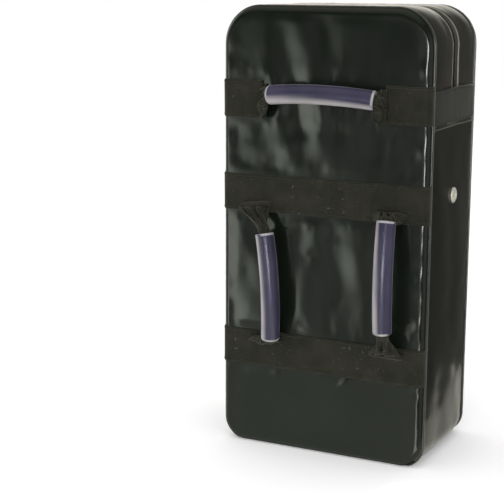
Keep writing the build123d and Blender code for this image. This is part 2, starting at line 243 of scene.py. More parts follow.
def outline(pitch):
    """Points round the outline from the middle of the foot, by the left side, with normals."""
    points, normals = [], []

    def straight(a, b, normal):
        count = max(2, round(math.dist(a, b) / pitch))
        for t in np.linspace(0, 1, count, endpoint=False):
            points.append([a[0] + (b[0] - a[0]) * t, a[1] + (b[1] - a[1]) * t])
            normals.append(normal)

    def arc(cx, cz, radius, first):
        count = max(6, round(math.pi / 2 * radius / pitch))
        for angle in np.linspace(first, first + math.pi / 2, count, endpoint=False):
            normals.append([math.cos(angle), math.sin(angle)])
            points.append([cx + radius * math.cos(angle), cz + radius * math.sin(angle)])

    foot_x, top_x = HALF - FOOT_RADIUS, HALF - TOP_RADIUS
    top_z = HEIGHT - TOP_RADIUS
    straight((0, 0), (foot_x, 0), [0, -1])
    arc(foot_x, FOOT_RADIUS, FOOT_RADIUS, -math.pi / 2)
    straight((HALF, FOOT_RADIUS), (HALF, top_z), [1, 0])
    arc(top_x, top_z, TOP_RADIUS, 0)
    straight((top_x, HEIGHT), (-top_x, HEIGHT), [0, 1])
    arc(-top_x, top_z, TOP_RADIUS, math.pi / 2)
    straight((-HALF, top_z), (-HALF, FOOT_RADIUS), [-1, 0])
    arc(-foot_x, FOOT_RADIUS, FOOT_RADIUS, math.pi)
    straight((-foot_x, 0), (0, 0), [0, -1])
    return np.array(points + points[:1]), np.array(normals + normals[:1])


def panel_depth(x, z):
    """How far from the block's middle plane a leather face stands, before its wrinkles."""
    t = np.clip(inset(x, z) / ROLL, 0, 1)
    return SEAM_Y + 1 + (FACE_Y - SEAM_Y - 1) * np.sqrt(1 - (1 - t) ** 2)


# ---- cloth simulation ----

CLOTH_FRAMES = 20
CLOTH_GRID = 6.0
CLOTH_ROUGH = 0.6  # the unevenness a sheet starts with
CLOTH = {
    "quality": 5,
    "mass": 0.25,
    "tension_stiffness": 25,
    "compression_stiffness": 25,
    "shear_stiffness": 8,
    "bending_stiffness": 1.2,
    "vertex_group_mass": "sewn",
    "use_pressure": True,
    "uniform_pressure_force": 0.15,
}


def simulated_relief(name, width, height, pinned, slack, seed):
    """Out-of-plane relief of a leather sheet sewn down where pinned says, as a sampling function."""
    columns, rows = round(width / CLOTH_GRID) + 1, round(height / CLOTH_GRID) + 1
    u = np.linspace(-width / 2, width / 2, columns)
    v = np.linspace(0, height, rows)
    grid_v, grid_u = np.meshgrid(v, u, indexing="ij")
    relief = np.zeros(grid_u.shape)
    rough = smooth_noise(seed, 12, 30, 90)(grid_u, grid_v) * CLOTH_ROUGH
    sheet = add_object(name, points_of(grid_u, rough, grid_v), lattice(rows, columns))
    group = sheet.vertex_groups.new(name="sewn")
    held = np.flatnonzero(pinned(grid_u, grid_v).ravel())
    group.add(held.tolist(), 1.0, "REPLACE")
    cloth = sheet.modifiers.new("cloth", "CLOTH")
    for key, value in CLOTH.items():
        setattr(cloth.settings, key, value)
    cloth.settings.shrink_min = -slack
    cloth.settings.effector_weights.gravity = 0
    cloth.point_cache.frame_start = 1
    cloth.point_cache.frame_end = CLOTH_FRAMES
    for number in range(1, CLOTH_FRAMES + 1):
        bpy.context.scene.frame_set(number)
    settled = sheet.evaluated_get(bpy.context.evaluated_depsgraph_get())
    flat = np.empty(len(settled.data.vertices) * 3)
    settled.data.vertices.foreach_get("co", flat)
    relief = -flat.reshape(-1, 3)[:, 1].reshape(grid_u.shape) / MM
    bpy.data.objects.remove(sheet)
    bpy.context.scene.frame_set(1)

    def sample(at_u, at_v):
        fu = np.clip((np.asarray(at_u) + width / 2) / width * (columns - 1), 0, columns - 1.001)
        fv = np.clip(np.asarray(at_v) / height * (rows - 1), 0, rows - 1.001)
        iu, iv = fu.astype(int), fv.astype(int)
        tu, tv = fu - iu, fv - iv
        low = relief[iv, iu] * (1 - tu) + relief[iv, iu + 1] * tu
        high = relief[iv + 1, iu] * (1 - tu) + relief[iv + 1, iu + 1] * tu
        return low * (1 - tv) + high * tv

    return sample


# ---- materials ----


class Look:
    """The shader nodes of a material, or of the world."""

    def __init__(self, name, kind="materials", **values):
        self.made = getattr(bpy.data, kind).new(name)
        self.made.use_nodes = True
        self.tree = self.made.node_tree
        self.bumped = None
        self.shade(**values)

    def shade(self, **values):
        """Gives the shader its inputs by name, with _ for a space."""
        for key, value in values.items():
            self.feed(self.tree.nodes["Principled BSDF"].inputs[key.replace("_", " ")], value)

    def feed(self, socket, value):
        """Gives a socket a number, a vector, a colour or another node's output."""
        if isinstance(value, bpy.types.NodeSocket):
            self.tree.links.new(value, socket)
        elif socket.type == "RGBA":
            socket.default_value = (*value, 1)
        else:
            socket.default_value = value

    def node(self, kind, inputs, output=0, **settings):
        """Adds a node with its settings and inputs, and gives one of its outputs."""
        new = self.tree.nodes.new("ShaderNode" + kind)
        for key, value in settings.items():
            setattr(new, key, value)
        for key, value in inputs.items():
            self.feed(new.inputs[key], value)
        return new.outputs[output] if new.outputs else None

    def coordinates(self, output="Object", scale=(1, 1, 1)):
        """Texture coordinates, stretched."""
        place = self.node("TexCoord", {}, output)
        return self.node("Mapping", {"Vector": place, "Scale": scale})

    def noise(self, vector, scale, detail=3.0, roughness=0.55):
        values = {"Vector": vector, "Scale": scale, "Detail": detail, "Roughness": roughness}
        return self.node("TexNoise", values, "Fac")

    def wave(self, vector, scale, direction, distortion=0.0):
        values = {"Vector": vector, "Scale": scale, "Distortion": distortion}
        return self.node("TexWave", values, "Fac", bands_direction=direction)

    def cells(self, vector, scale, feature="SMOOTH_F1"):
        return self.node("TexVoronoi", {"Vector": vector, "Scale": scale}, "Distance", feature=feature)

    def remap(self, value, from_low, from_high, to_low=0, to_high=1):
        names = ("Value", "From Min", "From Max", "To Min", "To Max")
        values = dict(zip(names, (value, from_low, from_high, to_low, to_high)))
        return self.node("MapRange", values, "Result")

    def mix(self, factor, first, second):
        """Between two colours, plain or made by nodes."""
        return self.node("Mix", {0: factor, 6: first, 7: second}, 2, data_type="RGBA")

    def maths(self, operation, *values):
        return self.node("Math", dict(enumerate(values)), operation=operation)

    def bump(self, height, strength, distance):
        """Adds relief to the shader's normal, on top of an earlier bump."""
        values = {"Height": height, "Strength": strength, "Distance": distance}
        if self.bumped is not None:
            values["Normal"] = self.bumped
        self.bumped = self.node("Bump", values)
        self.shade(Normal=self.bumped)


PEBBLES = 850.0
LINT = (0.13, 0.125, 0.105)
BARE_LEATHER = (0.012, 0.013, 0.012)
HOSE_DARK = (0.042, 0.039, 0.08)
HOSE_VIOLET = (0.058, 0.053, 0.102)
# Colour of the painted light on the hose, on its edge-on walls and its lit side.
HOSE_PALE = (0.6, 0.56, 0.56)
HOSE_LIT_SIDE = (0.75, 0.1, -0.65)


def leather(name, base, worn, roughness):
    """Smooth coated synthetic leather: fine pebble grain, faint handling marks and uneven gloss."""
    look = Look(name, Specular_IOR_Level=0.04, Coat_Weight=1.0, Coat_IOR=1.45)
    here = look.coordinates()
    cloud = look.remap(look.noise(here, 9.0, 4.0), 0.35, 0.75)
    smear = look.noise(look.coordinates(scale=(3, 3, 0.7)), 16.0, 5.0)
    look.shade(
        Base_Color=look.mix(cloud, base, worn),
        Roughness=look.remap(smear, 0.3, 0.7, roughness - 0.06, roughness + 0.1),
        Coat_Roughness=look.remap(smear, 0.3, 0.7, 0.12, 0.2),
    )
    look.bump(look.cells(here, PEBBLES), 0.1, 0.0002)
    look.bump(look.noise(here, 260.0), 0.06, 0.0005)
    look.shade(Coat_Normal=look.bumped)
    return look.made


def webbing(name, base, light):
    """Woven strap webbing: ribs across and along the strap, dry fibres and lint."""
    look = Look(name, Roughness=0.85, Specular_IOR_Level=0.25)
    look.shade(Sheen_Weight=0.18, Sheen_Roughness=0.45, Sheen_Tint=(0.8, 0.78, 0.66))
    along, here = look.coordinates("UV"), look.coordinates()
    weave = look.maths("MULTIPLY", look.wave(along, 165.0, "X", 0.4), look.wave(along, 120.0, "Y", 0.4))
    dust = look.remap(look.noise(here, 38.0, 5.0, 0.65), 0.3, 0.8, 0, 0.65)
    # Ridges of the weave take the lighter tone and its grooves the darker: painted shade in the grooves,
    # with random dust mottling.
    cloth = look.mix(look.maths("MULTIPLY_ADD", weave, 0.35, dust), base, light)
    flecks = look.remap(look.noise(here, 230.0, 2.0, 0.5), 0.7, 0.76, 0, 0.55)
    look.shade(Base_Color=look.mix(flecks, cloth, LINT))
    look.bump(weave, 0.55, 0.0004)
    look.bump(look.noise(here, 900.0, 2.0), 0.2, 0.0003)
    return look.made


def clear_hose(name):
    """Tinted clear hose: violet, with painted light making it paler where its wall is seen edge on and on
    its side towards HOSE_LIT_SIDE, where light comes up into it.
    """
    look = Look(name, IOR=1.5, Specular_IOR_Level=0.3, Transmission_Weight=0.3)
    look.shade(Coat_Weight=0.12, Coat_Roughness=0.2)
    haze = look.noise(look.coordinates(), 24.0, 2.0, 0.4)
    body = look.mix(look.remap(haze, 0.35, 0.65), HOSE_DARK, HOSE_VIOLET)
    # Painted highlight: paler where the wall is seen edge on.
    rim = look.remap(look.node("LayerWeight", {"Blend": 0.5}, "Facing"), 0.66, 0.92, 0, 0.75)
    normal = look.node("TexCoord", {}, "Normal")
    # Painted light: paler on the side facing HOSE_LIT_SIDE, below and towards +x.
    towards = look.node("VectorMath", {0: normal, 1: HOSE_LIT_SIDE}, "Value", operation="DOT_PRODUCT")
    pale = look.maths("MAXIMUM", rim, look.remap(towards, 0.2, 0.52))
    # The painted light, slightly varied by the random haze.
    painted_pale_hazy = look.maths("MULTIPLY", pale, look.remap(haze, 0.3, 0.7, 0.75, 1.0))
    look.shade(
        Base_Color=look.mix(painted_pale_hazy, body, HOSE_PALE),
        Roughness=look.remap(haze, 0.3, 0.7, 0.32, 0.42),
    )
    look.bump(look.noise(look.coordinates("UV", (1, 0.04, 1)), 420.0, 2.0), 0.06, 0.0003)
    look.shade(Coat_Normal=look.bumped)
    return look.made


def metal(name, colour, tarnish, roughness):
    """Plated metal with fine scratches and tarnish."""
    look = Look(name, Metallic=0.55)
    stain = look.noise(look.coordinates(), 160.0, 4.0)
    look.shade(
        Base_Color=look.mix(look.remap(stain, 0.45, 0.8), colour, tarnish),
        Roughness=look.remap(stain, 0.3, 0.7, roughness - 0.07, roughness + 0.12),
    )
    look.bump(look.noise(look.coordinates(scale=(1, 14, 1)), 500.0, 2.0), 0.15, 0.0002)
    return look.made


def plastic(name, colour, roughness):
    """Moulded or drawn plastic with slight unevenness."""
    look = Look(name)
    here = look.coordinates()
    uneven = look.noise(here, 120.0)
    lighter = tuple(c * 1.6 + 0.004 for c in colour)
    look.shade(
        Base_Color=look.mix(look.remap(uneven, 0.3, 0.8), colour, lighter),
        Roughness=look.remap(uneven, 0.3, 0.7, roughness - 0.06, roughness + 0.08),
    )
    look.bump(look.noise(here, 700.0, 2.0), 0.1, 0.0002)
    return look.made


def foam(name, colour, stained, pores):
    """Cut foam with open cells."""
    look = Look(name, Roughness=0.95, Specular_IOR_Level=0.1)
    here = look.coordinates()
    look.shade(Base_Color=look.mix(look.noise(here, 14.0, 4.0), colour, stained))
    look.bump(look.cells(here, pores, "F1"), 0.5, 0.0008)
    return look.made


def ink(name, top_colour, low_colour, low_z, high_z):
    """Screen print fading from one colour to another up its height, thin where the leather is worn."""
    look = Look(name, Coat_Weight=0.35, Coat_Roughness=0.25)
    here = look.coordinates()
    rise = look.remap(look.node("SeparateXYZ", {"Vector": here}, "Z"), low_z * MM, high_z * MM)
    shade = look.mix(rise, low_colour, top_colour)
    worn = look.remap(look.noise(here, 330.0, 5.0, 0.7), 0.66, 0.76, 0, 0.75)
    look.shade(
        Base_Color=look.mix(worn, shade, BARE_LEATHER),
        Roughness=look.remap(worn, 0, 1, 0.38, 0.55),
    )
    look.bump(look.cells(here, PEBBLES), 0.1, 0.0002)
    return look.made


def thread(name, base, light):
    """Twisted sewing thread."""
    look = Look(name, Roughness=0.6, Specular_IOR_Level=0.4)
    strand = look.wave(look.coordinates(), 420.0, "DIAGONAL")
    look.shade(Base_Color=look.mix(strand, base, light))
    look.bump(strand, 0.4, 0.0003)
    return look.made


def glow(name, colour, strength):
    """A plain light of its own."""
    look = Look(name)
    look.tree.nodes.clear()
    light = look.node("Emission", {"Color": colour, "Strength": strength})
    look.node("OutputMaterial", {"Surface": light})
    return look.made


LEATHER = leather("cover_leather", (0.004, 0.0062, 0.0036), (0.007, 0.0096, 0.0062), 0.4)
# Piping colour, both tones, lifted pale: a painted highlight along the welts.
PIPING = leather("piping_leather", (0.022, 0.024, 0.019), (0.05, 0.05, 0.04), 0.34)
# Zip strip fold edge colour, both tones, pale: a painted highlight where the fold catches the light.
FOLD_EDGE = leather("folded_leather", (0.15, 0.147, 0.118), (0.32, 0.31, 0.25), 0.34)
# Cross seam colour, both tones, lifted pale: a painted highlight on the seam's ridges.
SEAM_EDGE = leather("seam_leather", (0.06, 0.059, 0.045), (0.13, 0.127, 0.1), 0.34)
VINYL = leather("side_band_vinyl", (0.027, 0.03, 0.026), (0.04, 0.043, 0.037), 0.46)
STRIP_LEATHER = leather("zip_strip_leather", (0.013, 0.0135, 0.0098), (0.03, 0.028, 0.022), 0.42)
WEBBING = webbing("strap_webbing", (0.0085, 0.0083, 0.0052), (0.031, 0.0308, 0.0195))
HOSE = clear_hose("clear_hose")
# Pale cut ends of the hose: a painted highlight on its cut rims.
HOSE_CUT = plastic("cut_hose", (0.26, 0.25, 0.26), 0.5)
NICKEL = metal("eyelet_metal", (0.88, 0.86, 0.74), (0.62, 0.57, 0.45), 0.3)
ZIP_METAL = metal("zip_metal", (0.34, 0.33, 0.31), (0.16, 0.15, 0.14), 0.35)
TAPE = webbing("zip_tape_fabric", (0.006, 0.006, 0.005), (0.014, 0.014, 0.012))
COIL = plastic("zip_coil_plastic", (0.006, 0.006, 0.006), 0.45)
FIRM_FOAM = foam("firm_foam", (0.06, 0.06, 0.062), (0.09, 0.09, 0.088), 900.0)
SOFT_FOAM = foam("soft_foam", (0.55, 0.5, 0.36), (0.66, 0.6, 0.42), 420.0)
# Welt stitch thread colour, pale: a painted highlight along the welts' stitch line.
THREAD = thread("seam_thread", (0.16, 0.16, 0.135), (0.5, 0.49, 0.42))
DARK_THREAD = thread("strap_thread", (0.012, 0.012, 0.011), (0.05, 0.048, 0.04))


# ---- sewn details ----


# Pitch, length and width of the stitches in each kind of row.
WELT_STITCH = (3.8, 2.7, 0.95)
SEAM_STITCH = (4.2, 3.0, 0.8)
STRAP_STITCH = (4.4, 3.2, 0.8)
BAND_STITCH = (4.4, 3.1, 0.7)


def stitches(path, normals, pitch, length, width):
    """Thread stitches lying along a path of points, as one (points, faces, uv) part."""
    run = run_along(path)
    middle = np.arange(pitch / 2, run[-1] - length / 2, pitch)

    def at(values, where):
        return np.stack([np.interp(where, run, values[:, k]) for k in range(3)], 1)

    first, last = at(path, middle - length / 2), at(path, middle + length / 2)
    up = unit(at(normals, middle))
    along = last - first
    across = unit(np.cross(up, along))
    sides = 6
    share = np.repeat([0.0, 0.2, 0.8, 1.0], sides)
    swell = np.repeat([0.3, 1.0, 1.0, 0.3], sides) * width / 2
    lift = np.repeat([-0.5, 0.25, 0.25, -0.5], sides) * width
    turn = np.tile(full_turn(sides), 4)
    points = (
        first[:, None]
        + along[:, None] * share[None, :, None]
        + across[:, None] * (swell * np.cos(turn))[None, :, None]
        + up[:, None] * (swell * np.sin(turn) + lift)[None, :, None]
    )
    one = lattice(4, sides, wrap_cols=True)
    one += [list(range(sides))[::-1], list(range(3 * sides, 4 * sides))]
    count = 4 * sides
    faces = [[v + k * count for v in face] for k in range(len(middle)) for face in one]
    return points.reshape(-1, 3), faces, np.zeros((len(middle) * count, 2))


def stitch_rows(name, rows, finish, size):
    """One piece of stitches, from paths with their normals."""
    item = combine(name + "_stitches", [stitches(path, normals, *size) for path, normals in rows])
    finish_piece(item, finish, "shield", None)


# ---- cover panels ----

STRAP_NAMES = ("lower_strap", "middle_strap", "upper_strap_left", "upper_strap_right")
STRAPS = {name: node_box(name) for name in STRAP_NAMES}
STRAP_FOOT = STRAPS["lower_strap"][0][2]
GATHER_X = 87.0  # the upper strap's halves end here, at the handle's roots
FAR = 99.0
SEWN_EDGE = 10.0
CREASE_WIDTH = 5.5
# Pinched creases under the lower strap: x, lean, length and depth.
CREASES = [(-42, 0.6, 34, 0.5), (-42, -0.6, 26, 0.3), (-4, 0.8, 34, 0.45)]

FOLDS = smooth_noise(11, 12, 34, 90)
RIPPLES = smooth_noise(12, 12, 9, 22)
BROAD = smooth_noise(13, 8, 90, 190)
EDGE_WAVES = smooth_noise(14, 10, 22, 70)


def strap_cover(x, z):
    """0 where the back panel is free, 1 under a strap, with a soft edge."""
    cover = np.zeros(np.broadcast(x, z).shape)
    for name, (low, high) in STRAPS.items():
        inside = np.minimum(z - low[2], high[2] - z)
        if "upper" in name:
            inside = np.minimum(inside, np.abs(x) - GATHER_X)
        cover = np.maximum(cover, step(-15, 1, inside))
    return cover


def crease(dx, dz, lean, length):
    """A pinched crease that fades downwards from a point."""
    along = -dz * math.cos(lean) + dx * math.sin(lean)
    off = dx * math.cos(lean) + dz * math.sin(lean)
    return step(-7, 9, along) * (1 - step(0.3 * length, length, along)) * bell(off, CREASE_WIDTH)


def sewn_back(x, z):
    return (inset(x, z) < SEWN_EDGE) | (strap_cover(x, z) > 0.5)


def sewn_front(x, z):
    return inset(x, z) < SEWN_EDGE


BACK_SIM = simulated_relief("back_sheet", 2 * HALF, HEIGHT, sewn_back, 0.002, seed=5)
FRONT_SIM = simulated_relief("front_sheet", 2 * HALF, HEIGHT, sewn_front, 0.001, seed=8)


def back_relief(x, z):
    """Wrinkles of the back panel: simulated slack, drawn folds between the straps and small puckers."""
    edge = inset(x, z)
    calm_top = 1 - 0.6 * step(490, 535, z)
    relief = capped(0.3 * BACK_SIM(x, z), 1.3) * calm_top * (1 - 0.5 * step(-5, 70, -x))
    relief += 0.75 * calm_top * (1 - 0.72 * step(-10, 75, -x)) * FOLDS(x - 0.3 * z, 0.22 * z)
    relief += 0.75 * BROAD(x, 0.5 * z)
    near = np.full(np.shape(relief), FAR)
    for low, high in STRAPS.values():
        near = np.minimum(near, np.maximum(low[2] - z, z - high[2]) + FAR * (np.abs(x) < low[0]))
    relief += 0.16 * RIPPLES(x, 0.4 * z) * np.exp(-np.maximum(near, 0) / 14)
    relief *= (1 - strap_cover(x, z)) * step(5, 24, edge)
    relief += 0.45 * EDGE_WAVES(0.15 * x, z) * bell(edge - 8.0, 6.0)
    for crease_x, lean, length, depth in CREASES:
        relief += depth * crease(x - crease_x, z - STRAP_FOOT, lean, length)
    pucker = bell(z - STRAP_FOOT + 3.0, 2.2) * step(96, 132, -x) * step(2, 9, edge)
    return relief + 0.72 * pucker


def front_relief(x, z):
    """Soft unevenness of the striking face."""
    relief = capped(0.16 * FRONT_SIM(x, z), 0.8) + 0.7 * BROAD(x + 60, 0.6 * z) + 0.12 * FOLDS(z, x)
    return relief * step(5, 26, inset(x, z))


def rounding(radius, *degrees):
    """How far in from its edge a rounding has come, at a range of angles."""
    return radius * (1 - np.cos(np.radians(np.arange(*degrees))))


def panel(name, side, relief, *nodes):
    """A leather face: a grid over the outline, rolled at its edge down to the seam."""
    foot = rounding(FOOT_RADIUS, 0, 90, 6)
    top = HEIGHT - rounding(TOP_RADIUS, 90, -1, -5)
    heights = np.concatenate([foot, np.linspace(FOOT_RADIUS, HEIGHT - TOP_RADIUS, 200)[:-1], top])
    share = 1 - np.concatenate([rounding(ROLL, 0, 90, 8), np.linspace(ROLL, HALF, 52)]) / HALF
    share = np.concatenate([share, -share[-2::-1]])
    x = share * half_width(heights)[:, None]
    z = np.repeat(heights[:, None], len(share), axis=1)
    points = points_of(x, side * (panel_depth(x, z) + relief(x, z)), z)
    padded_sheet(name, points, LEATHER, nodes, turned=side < 0)


panel("cover_back", 1, back_relief, "back_panel")
panel("cover_front", -1, front_relief, "front_panel")


# ---- side walls ----

OUTLINE, OUTLINE_NORMALS = outline(1.0)
OUTLINE_RUN = run_along(OUTLINE)
WHOLE_RUN = OUTLINE_RUN[-1]
FOOT_ARC = math.pi / 2 * FOOT_RADIUS
LEFT_SEAM_RUN = HALF - FOOT_RADIUS + FOOT_ARC + CROSS_SEAM_Z - FOOT_RADIUS
RIGHT_SEAM_RUN = WHOLE_RUN - LEFT_SEAM_RUN
LOWER_RUN = 2 * LEFT_SEAM_RUN
PUCKER_REACH = 8.0
WELT_RADIUS = 1.75
WELT_PROUD = 0.35
WELT_STITCH_PROUD = 1.35
EDGE_WANDER = 0.5
# Across from the block's middle, and how proud, round the folded edge of a zip strip.
STRIP_PROFILE = [
    (82, 0), (80.5, 0.2), (78, 0.6), (73, 1.2), (65, 1.9), (55, 2.3), (45, 2.4), (36, 2.1), (28, 1.7),
    (22, 1.4), (17.5, 1.25), (14.5, 1.1), (12.9, 0.6), (12.0, -0.1), (12.0, -0.9), (12.9, -1.3),
    (15.0, -1.45), (19.0, -1.45),
]
FOLD_Y = 12.4
FOLD_PROUD = -0.3
FOLD_RADIUS = 1.3
# Up from the cross seam, and how proud.
SEAM_PROFILE = [
    (-3.3, -0.6), (-3.4, 0.7), (-2.7, 1.4), (-1.7, 1.5), (-0.6, 0.8),
    (0.6, 0.8), (1.7, 1.6), (2.8, 1.5), (3.5, 0.8), (3.4, -0.6),
]

GUSSET_WAVES = smooth_noise(21, 10, 50, 120)
GUSSET_PUCKERS = smooth_noise(22, 14, 8, 20)
STRIP_WAVES = smooth_noise(31, 10, 25, 70)


def around(run):
    """Points and outward normals of the outline, in space, at distances round it."""
    run = np.mod(run, WHOLE_RUN)
    place, normal = [
        points_of(np.interp(run, OUTLINE_RUN, table[:, 0]), 0.0, np.interp(run, OUTLINE_RUN, table[:, 1]))
        for table in (OUTLINE, OUTLINE_NORMALS)
    ]
    return place, unit(normal)


def wall_points(run, across, proud):
    """Points on the side wall: run round it, depth across it, and how proud of the outline."""
    place, normal = around(run)
    points = place + normal * np.asarray(proud)[..., None]
    points[..., 1] = across
    points[..., 2] = np.maximum(points[..., 2], 0.0)
    return points


def sewn_gusset(across, run):
    ends = np.minimum(run, LOWER_RUN - run)
    flat_foot = np.abs(run - LOWER_RUN / 2) < HALF - FOOT_RADIUS
    return (np.abs(across) > 73) | (ends < 8) | flat_foot


GUSSET_SIM = simulated_relief("gusset_sheet", 2 * SEAM_Y, LOWER_RUN, sewn_gusset, 0.002, seed=3)


def seam_puckers(across, run):
    """Small puckers that die away from the seam with a face."""
    return GUSSET_PUCKERS(0.3 * across, run) * np.exp(-(SEAM_Y - np.abs(across)) / PUCKER_REACH)


def wall_relief(run, across):
    """Bulge, simulated slack and seam puckers of the lower side wall."""
    _, normal = around(run)
    off_floor = step(-0.98, -0.3, normal[..., 2])
    share = np.clip(np.abs(across) / SEAM_Y, 0, 1)
    since = np.mod(run - RIGHT_SEAM_RUN, WHOLE_RUN)
    relief = BULGE * (1 - share**2)
    relief += capped(0.28 * GUSSET_SIM(across, since), 1.2) * (1 - step(0.75, 1, share))
    relief += 0.8 * GUSSET_WAVES(across, 0.4 * run) * (1 - share**4)
    relief += 0.4 * seam_puckers(across, run) * (1 - step(0.96, 1, share))
    return relief * off_floor * step(0, 55, np.minimum(since, LOWER_RUN - since))


def lower_gusset():
    """The one-piece lower side wall, from cross seam to cross seam by the foot."""
    run = np.linspace(RIGHT_SEAM_RUN - WHOLE_RUN, LEFT_SEAM_RUN, 420)
    share = np.linspace(-1, 1, 61)
    across = SEAM_Y * (0.35 * np.sin(share * math.pi / 2) + 0.65 * share)  # finer by the seams
    run, across = np.meshgrid(run, across, indexing="ij")
    points = wall_points(run, across, wall_relief(run, across))
    padded_sheet("gusset_lower", points, LEATHER, ["lower_gusset"])


def strip_waver(run):
    """How a zip strip's folded edge wanders across."""
    return EDGE_WANDER * STRIP_WAVES(7.0, 0.6 * run)


def zip_strip(name, side, *nodes):
    """One leather strip beside the zip, with its edge folded under along the zip."""
    run = np.linspace(LEFT_SEAM_RUN - 1, RIGHT_SEAM_RUN + 1, 300)[:, None]
    across, proud = np.array(STRIP_PROFILE).T
    held = step(12, 30, across)
    proud = proud + 0.45 * STRIP_WAVES(across, run) * (1 - step(60, 82, across)) * held
    proud += 0.3 * seam_puckers(across, run) * (1 - step(79, 82, across))
    across = across + strip_waver(run) * (1 - held)
    points = wall_points(run, side * across, proud)
    padded_sheet(name, points, STRIP_LEATHER, nodes, turned=side > 0)


def fold_edge(name, side):
    """The rounded edge of a zip strip beside the zip, coloured pale as a painted highlight where the fold
    catches the light.
    """
    run = np.linspace(LEFT_SEAM_RUN + 3, RIGHT_SEAM_RUN - 3, 420)
    middle = wall_points(run, side * (FOLD_Y + strip_waver(run)), FOLD_PROUD)
    swell = FOLD_RADIUS * (1 + 0.15 * GUSSET_PUCKERS(60.0, run))
    tube(name, rings(middle, around(run)[1], BACKWARDS, swell, 8), FOLD_EDGE, "cover_leather")


def welt(name, side, node_name):
    """The piped seam between a face and the side wall, with its row of stitches."""
    run = np.linspace(0, WHOLE_RUN, 620, endpoint=False)
    place, normal = around(run)
    middle = place + WELT_PROUD * normal + side * SEAM_Y * BACKWARDS
    middle[:, 2] = np.maximum(middle[:, 2], WELT_RADIUS)
    swell = WELT_RADIUS * (1 + 0.05 * GUSSET_PUCKERS(40.0, run))
    sections = rings(middle, normal, BACKWARDS, swell, 10)
    sections[..., 2] = np.maximum(sections[..., 2], 0.0)
    tube(name, sections, PIPING, "cover_leather", node_name, closed=True)
    run = np.append(run, WHOLE_RUN)
    path = wall_points(run, side * (SEAM_Y - WELT_RADIUS), WELT_STITCH_PROUD)
    stitch_rows(name, [(path, around(run)[1] - 0.5 * side * BACKWARDS)], THREAD, WELT_STITCH)


def cross_seam(name, side, node_name):
    """The folded and bound seam across a side, between the lower wall and the zip strips."""
    across = np.linspace(-SEAM_Y, SEAM_Y, 56)
    run = LEFT_SEAM_RUN if side > 0 else RIGHT_SEAM_RUN
    base = HALF + wall_relief(np.full(len(across), run), across)
    height = CROSS_SEAM_Z + 0.5 * GUSSET_WAVES(across, 17.0)
    up, proud = np.array(SEAM_PROFILE).T
    sections = points_of(side * (base[:, None] + proud), across[:, None], height[:, None] + up)
    tube(name, sections, SEAM_EDGE, "cover_leather", node_name)
    path = points_of(side * (base + 1.0), across, height)
    stitch_rows(name, [(path, np.tile([side, 0.0, 0.0], (len(across), 1)))], DARK_THREAD, SEAM_STITCH)


lower_gusset()
zip_strip("gusset_zip_rear", 1, "zip_gusset_rear")
zip_strip("gusset_zip_front", -1, "zip_gusset_front")
fold_edge("zip_fold_rear", 1)
fold_edge("zip_fold_front", -1)
welt("welt_rear", 1, "rear_welt")
welt("welt_front", -1, "front_welt")
cross_seam("cross_seam_left", 1, "gusset_seam_left")
cross_seam("cross_seam_right", -1, "gusset_seam_right")


# ---- straps ----

STRAP_WAVES = smooth_noise(41, 10, 28, 80)
STRAP_EDGE = smooth_noise(42, 8, 40, 110)
STRAP_THICK = 1.85
# In from the strap's edge, and the height of its upper side there.
SELVEDGE = [(0.0, 0.75), (0.25, 1.45), (1.1, 1.8)]
STITCH_IN = 3.2
# Up the side band as a share of its height, and how proud, round its hemmed edges.
BAND_PROFILE = [
    (0, -1.3), (0, -0.5), (0.03, 0.25), (0.09, 0.3), (0.13, 0), (0.3, 0), (0.5, 0.1), (0.7, 0),
    (0.87, 0), (0.91, 0.3), (0.97, 0.25), (1, -0.5), (1, -1.3), (0.5, -1.4),
]


def panel_section():
    """The back panel's cross-section from its right seam to its left one: points and normals."""
    angle = np.radians(np.arange(8, 90, 6))
    crown = FACE_Y - SEAM_Y - 1
    x = HALF - ROLL * (1 - np.cos(angle))
    y = SEAM_Y + 1 + crown * np.sin(angle)
    nx, ny = crown * np.cos(angle), ROLL * np.sin(angle)
    flat = np.linspace(HALF - ROLL, -(HALF - ROLL), 110)
    zero, one = np.zeros(len(flat)), np.ones(len(flat))
    points = points_of(np.concatenate([x, flat, -x[::-1]]), np.concatenate([y, one * FACE_Y, y[::-1]]))
    normals = points_of(np.concatenate([nx, zero, -nx[::-1]]), np.concatenate([ny, one, ny[::-1]]))
    return points[::-1], unit(normals)[::-1]


SECTION, SECTION_NORMALS = panel_section()
SECTION_RUN = run_along(SECTION)


